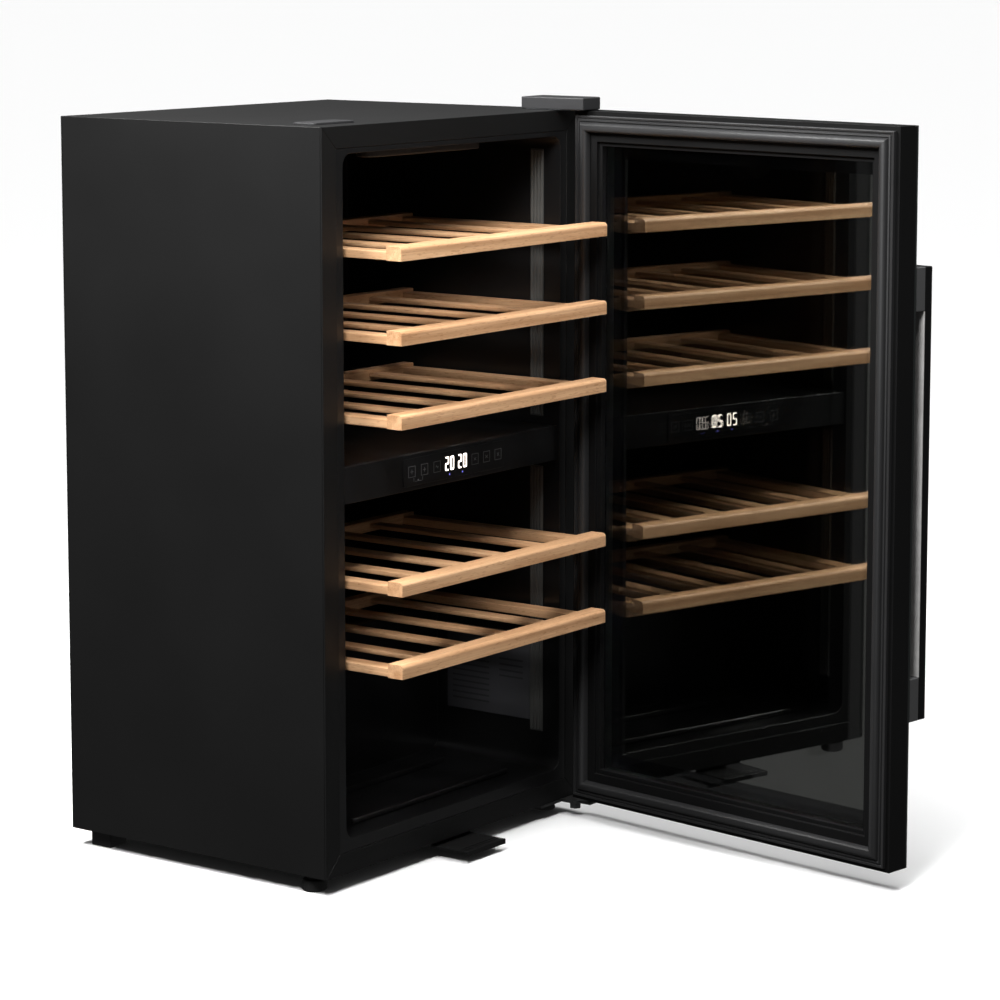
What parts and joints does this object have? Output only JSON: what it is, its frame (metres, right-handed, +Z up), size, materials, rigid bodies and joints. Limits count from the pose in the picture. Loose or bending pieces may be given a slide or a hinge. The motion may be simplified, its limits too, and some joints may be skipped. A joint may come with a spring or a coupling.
{
  "type": "wine cooler",
  "caption": "Free-standing two-zone wine cooler with a glass door on the right, slatted beech shelves that draw out, and a touch control bar between the zones.",
  "frame": {"origin": "centre of the flat underside of the cabinet, 20 mm above the floor", "axes": "+Z up, the front faces -Y, the hinges are on the +X side; the door stands open 82 degrees at rest"},
  "size_m": [0.4756, 0.8837, 0.855],
  "materials": {
    "casing_steel": "satin",
    "inner_plastic": "matte",
    "trim_plastic": "satin",
    "zinc_steel": "satin",
    "beech": "satin",
    "foam": "matte",
    "gasket_rubber": "matte",
    "smoked_glass": "polished",
    "spacer_alloy": "satin",
    "touch_gloss": "gloss",
    "circuit_board": "satin",
    "diffuser": "matte",
    "label": "matte"
  },
  "bodies": {
    "cabinet": {"outer_casing": "casing_steel", "front_frame": "casing_steel", "back_panel": "casing_steel", "base_pan": "casing_steel", "liner": "inner_plastic", "insulation": "foam", "zone_divider": "inner_plastic", "control_fascia": "trim_plastic", "touch_strip": "touch_gloss", "control_board": "circuit_board", "light_bar_left_upper": "diffuser", "light_bar_left_lower": "diffuser", "light_bar_right_upper": "diffuser", "light_bar_right_lower": "diffuser", "ceiling_lamp": "trim_plastic", "duct_cover_upper": "inner_plastic", "duct_cover_lower": "inner_plastic", "fan_motor_upper": "trim_plastic", "fan_motor_lower": "trim_plastic", "evaporator_upper": "spacer_alloy", "evaporator_lower": "spacer_alloy", "vent_filter_cap": "trim_plastic", "rating_plate": "label", "floor_rib_front": "trim_plastic", "floor_rib_rear": "trim_plastic", "compressor": "casing_steel", "compressor_plate": "zinc_steel", "drip_tray": "trim_plastic", "condenser": "casing_steel", "power_inlet": "trim_plastic", "top_hinge_plate": "zinc_steel", "top_hinge_cover": "inner_plastic", "bottom_hinge_bracket": "zinc_steel", "hinge_hole_cap": "inner_plastic", "rear_foot_left": "inner_plastic", "rear_foot_right": "inner_plastic", "front_support_foot": "casing_steel"},
    "door": {"door_frame": "inner_plastic", "outer_glass": "smoked_glass", "inner_glass": "smoked_glass", "glass_spacer": "spacer_alloy", "door_gasket": "gasket_rubber", "handle_bar": "trim_plastic", "handle_post_lower": "trim_plastic", "handle_post_upper": "trim_plastic", "handle_inlay": "spacer_alloy"},
    "fan_upper": {"fan_rotor_upper": "trim_plastic"},
    "fan_lower": {"fan_rotor_lower": "trim_plastic"},
    "foot_left": {"levelling_foot_left": "inner_plastic"},
    "foot_right": {"levelling_foot_right": "inner_plastic"},
    "shelf_1": {"shelf_1_front_rail": "beech", "shelf_1_deck": "beech"},
    "shelf_2": {"shelf_2_front_rail": "beech", "shelf_2_deck": "beech"},
    "shelf_3": {"shelf_3_front_rail": "beech", "shelf_3_deck": "beech"},
    "shelf_4": {"shelf_4_front_rail": "beech", "shelf_4_deck": "beech"},
    "shelf_5": {"shelf_5_front_rail": "beech", "shelf_5_deck": "beech"}
  },
  "joints": [
    {"name": "door_hinge", "type": "hinge", "parent": "cabinet", "child": "door", "pos_m": [0.225, -0.219, 0.41], "axis": [0, 0, 1], "range_deg": [-82, 33]},
    {"name": "shelf_1_slide", "type": "slide", "parent": "cabinet", "child": "shelf_1", "axis": [0, -1, 0], "range_m": [-0.079, 0.03209]},
    {"name": "shelf_2_slide", "type": "slide", "parent": "cabinet", "child": "shelf_2", "axis": [0, -1, 0], "range_m": [-0.079, 0.03209]},
    {"name": "shelf_3_slide", "type": "slide", "parent": "cabinet", "child": "shelf_3", "axis": [0, -1, 0], "range_m": [-0.079, 0.03209]},
    {"name": "shelf_4_slide", "type": "slide", "parent": "cabinet", "child": "shelf_4", "axis": [0, -1, 0], "range_m": [-0.079, 0.03209]},
    {"name": "shelf_5_slide", "type": "slide", "parent": "cabinet", "child": "shelf_5", "axis": [0, -1, 0], "range_m": [-0.079, 0.03209]},
    {"name": "fan_upper_spin", "type": "hinge", "parent": "cabinet", "child": "fan_upper", "pos_m": [0, 0.123, 0.724], "axis": [0, 1, 0], "continuous": true},
    {"name": "fan_lower_spin", "type": "hinge", "parent": "cabinet", "child": "fan_lower", "pos_m": [0, 0.123, 0.352], "axis": [0, 1, 0], "continuous": true},
    {"name": "foot_left_turn", "type": "hinge", "parent": "cabinet", "child": "foot_left", "pos_m": [-0.216, -0.155, -0.01], "axis": [0, 0, 1], "range_deg": [-360, 360]},
    {"name": "foot_right_turn", "type": "hinge", "parent": "cabinet", "child": "foot_right", "pos_m": [0.216, -0.155, -0.01], "axis": [0, 0, 1], "range_deg": [-360, 360]}
  ],
  "couplings": [
    {"joint": "shelf_1_slide", "follows": "door_hinge", "m_per_rad": 0.05485},
    {"joint": "shelf_2_slide", "follows": "door_hinge", "m_per_rad": 0.05485},
    {"joint": "shelf_3_slide", "follows": "door_hinge", "m_per_rad": 0.05485},
    {"joint": "shelf_4_slide", "follows": "door_hinge", "m_per_rad": 0.05485},
    {"joint": "shelf_5_slide", "follows": "door_hinge", "m_per_rad": 0.05485}
  ]
}
